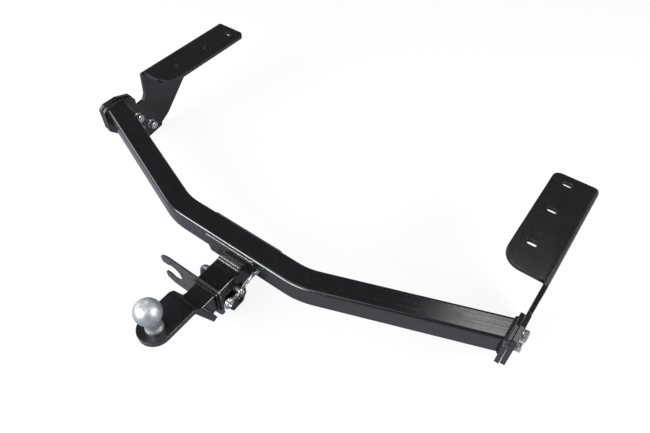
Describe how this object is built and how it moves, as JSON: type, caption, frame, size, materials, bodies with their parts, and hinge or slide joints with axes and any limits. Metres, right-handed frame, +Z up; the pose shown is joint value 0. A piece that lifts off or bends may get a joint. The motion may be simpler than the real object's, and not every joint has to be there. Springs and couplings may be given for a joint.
{
  "type": "trailer hitch",
  "caption": "Under-chassis trailer hitch: swept square crossmember, slotted side arms, receiver with ball mount, socket bracket, bent hitch pin and spring clip.",
  "frame": {"origin": "centre of the chassis slot pattern: on the hitch's centre line, midway between the rearmost and foremost slots, on top of the side arms' flanges", "axes": "+X across the vehicle to its right, seen from behind; +Y forward to the vehicle; +Z up"},
  "size_m": [1.088, 0.772, 0.198],
  "materials": {
    "frame_black": "satin black powder coat",
    "bracket_grey": "satin charcoal coat",
    "weld_black": "coated weld bead",
    "fastener_zinc": "zinc plated",
    "ball_steel": "bright plated, worn",
    "pin_zinc": "zinc plated"
  },
  "bodies": {
    "hitch": {"crossmember_tube": "frame_black", "end_plate_left": "frame_black", "end_plate_right": "frame_black", "side_arm_left": "frame_black", "side_arm_right": "frame_black", "receiver_tube": "frame_black", "gusset_plate_rear": "frame_black", "gusset_plate_front": "frame_black", "ball_mount_shank": "frame_black", "ball_mount_tongue": "frame_black", "chain_lug_left": "frame_black", "chain_lug_right": "frame_black", "socket_bracket": "bracket_grey", "gusset_welds_rear": "weld_black", "gusset_welds_front": "weld_black", "tube_end_weld_left": "weld_black", "tube_end_weld_right": "weld_black", "socket_bracket_welds": "weld_black", "ball_mount_welds": "weld_black", "arm_bolts_left": "fastener_zinc", "arm_bolts_right": "fastener_zinc", "arm_flat_washers_left": "fastener_zinc", "arm_flat_washers_right": "fastener_zinc", "arm_spring_washers_left": "fastener_zinc", "arm_spring_washers_right": "fastener_zinc", "arm_nuts_left": "fastener_zinc", "arm_nuts_right": "fastener_zinc", "ball_spring_washer": "fastener_zinc", "ball_nut": "fastener_zinc", "tow_ball": "ball_steel"},
    "pin": {"hitch_pin": "pin_zinc"},
    "clip": {"r_clip": "pin_zinc"}
  },
  "joints": [
    {"name": "hitch_pin_turn", "type": "hinge", "parent": "hitch", "child": "pin", "pos_m": [0, -0.4525, -0.11], "axis": [1, 0, 0], "range_deg": [-34, 4]},
    {"name": "clip_pull", "type": "slide", "parent": "pin", "child": "clip", "axis": [0, -0.9511, -0.309], "range_m": [0, 0.06], "deforming": ["r_clip"]}
  ]
}
